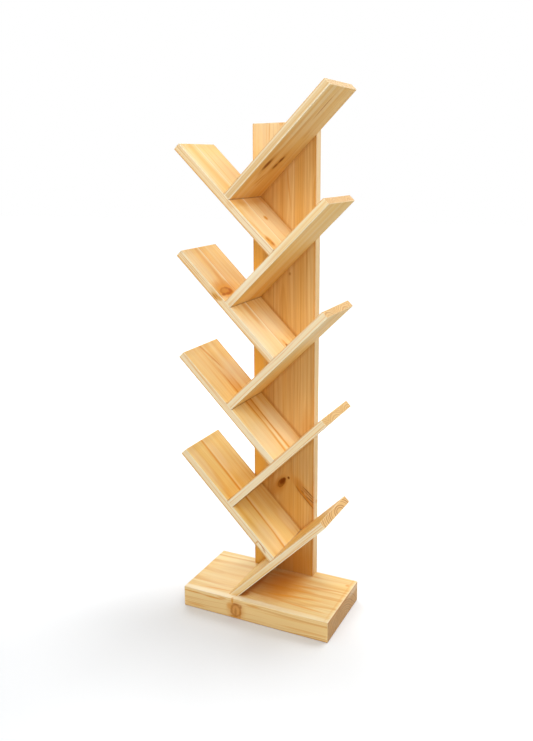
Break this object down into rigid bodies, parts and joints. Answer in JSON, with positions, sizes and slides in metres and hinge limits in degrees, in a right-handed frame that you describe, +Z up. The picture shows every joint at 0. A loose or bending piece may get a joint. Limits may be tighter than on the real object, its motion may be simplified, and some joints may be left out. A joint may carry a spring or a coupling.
{
  "type": "tree-shaped book stand",
  "caption": "Free-standing pine book stand: a thick base block, an upright spine plank, and slanting boards that zigzag up its front to hold books.",
  "frame": {"origin": "middle of the base block's underside, on the floor", "axes": "+Z up, +X to the right as seen from the front, -Y out of the front; the spine plank is at +Y"},
  "size_m": [0.449, 0.25, 1.4549],
  "materials": {
    "base_pine": "satin clear varnish",
    "spine_pine": "satin clear varnish",
    "board_pine": "satin clear varnish",
    "dowel_beech": "bare turned beech",
    "screw_steel": "zinc plated"
  },
  "bodies": {
    "root": {"base_block": "base_pine", "spine_plank": "spine_pine", "right_board_1": "board_pine", "left_board_1": "board_pine", "right_board_2": "board_pine", "left_board_2": "board_pine", "right_board_3": "board_pine", "left_board_3": "board_pine", "right_board_4": "board_pine", "left_board_4": "board_pine", "right_board_5": "board_pine", "right_board_1_screws": "screw_steel", "left_board_1_screws": "screw_steel", "right_board_2_screws": "screw_steel", "left_board_2_screws": "screw_steel", "right_board_3_screws": "screw_steel", "left_board_3_screws": "screw_steel", "right_board_4_screws": "screw_steel", "left_board_4_screws": "screw_steel", "right_board_5_screws": "screw_steel", "spine_foot_screws": "screw_steel", "right_board_1_dowels": "dowel_beech", "left_board_1_dowels": "dowel_beech", "right_board_2_dowels": "dowel_beech", "left_board_2_dowels": "dowel_beech", "right_board_3_dowels": "dowel_beech", "left_board_3_dowels": "dowel_beech", "right_board_4_dowels": "dowel_beech", "left_board_4_dowels": "dowel_beech", "right_board_5_dowels": "dowel_beech"}
  },
  "joints": []
}
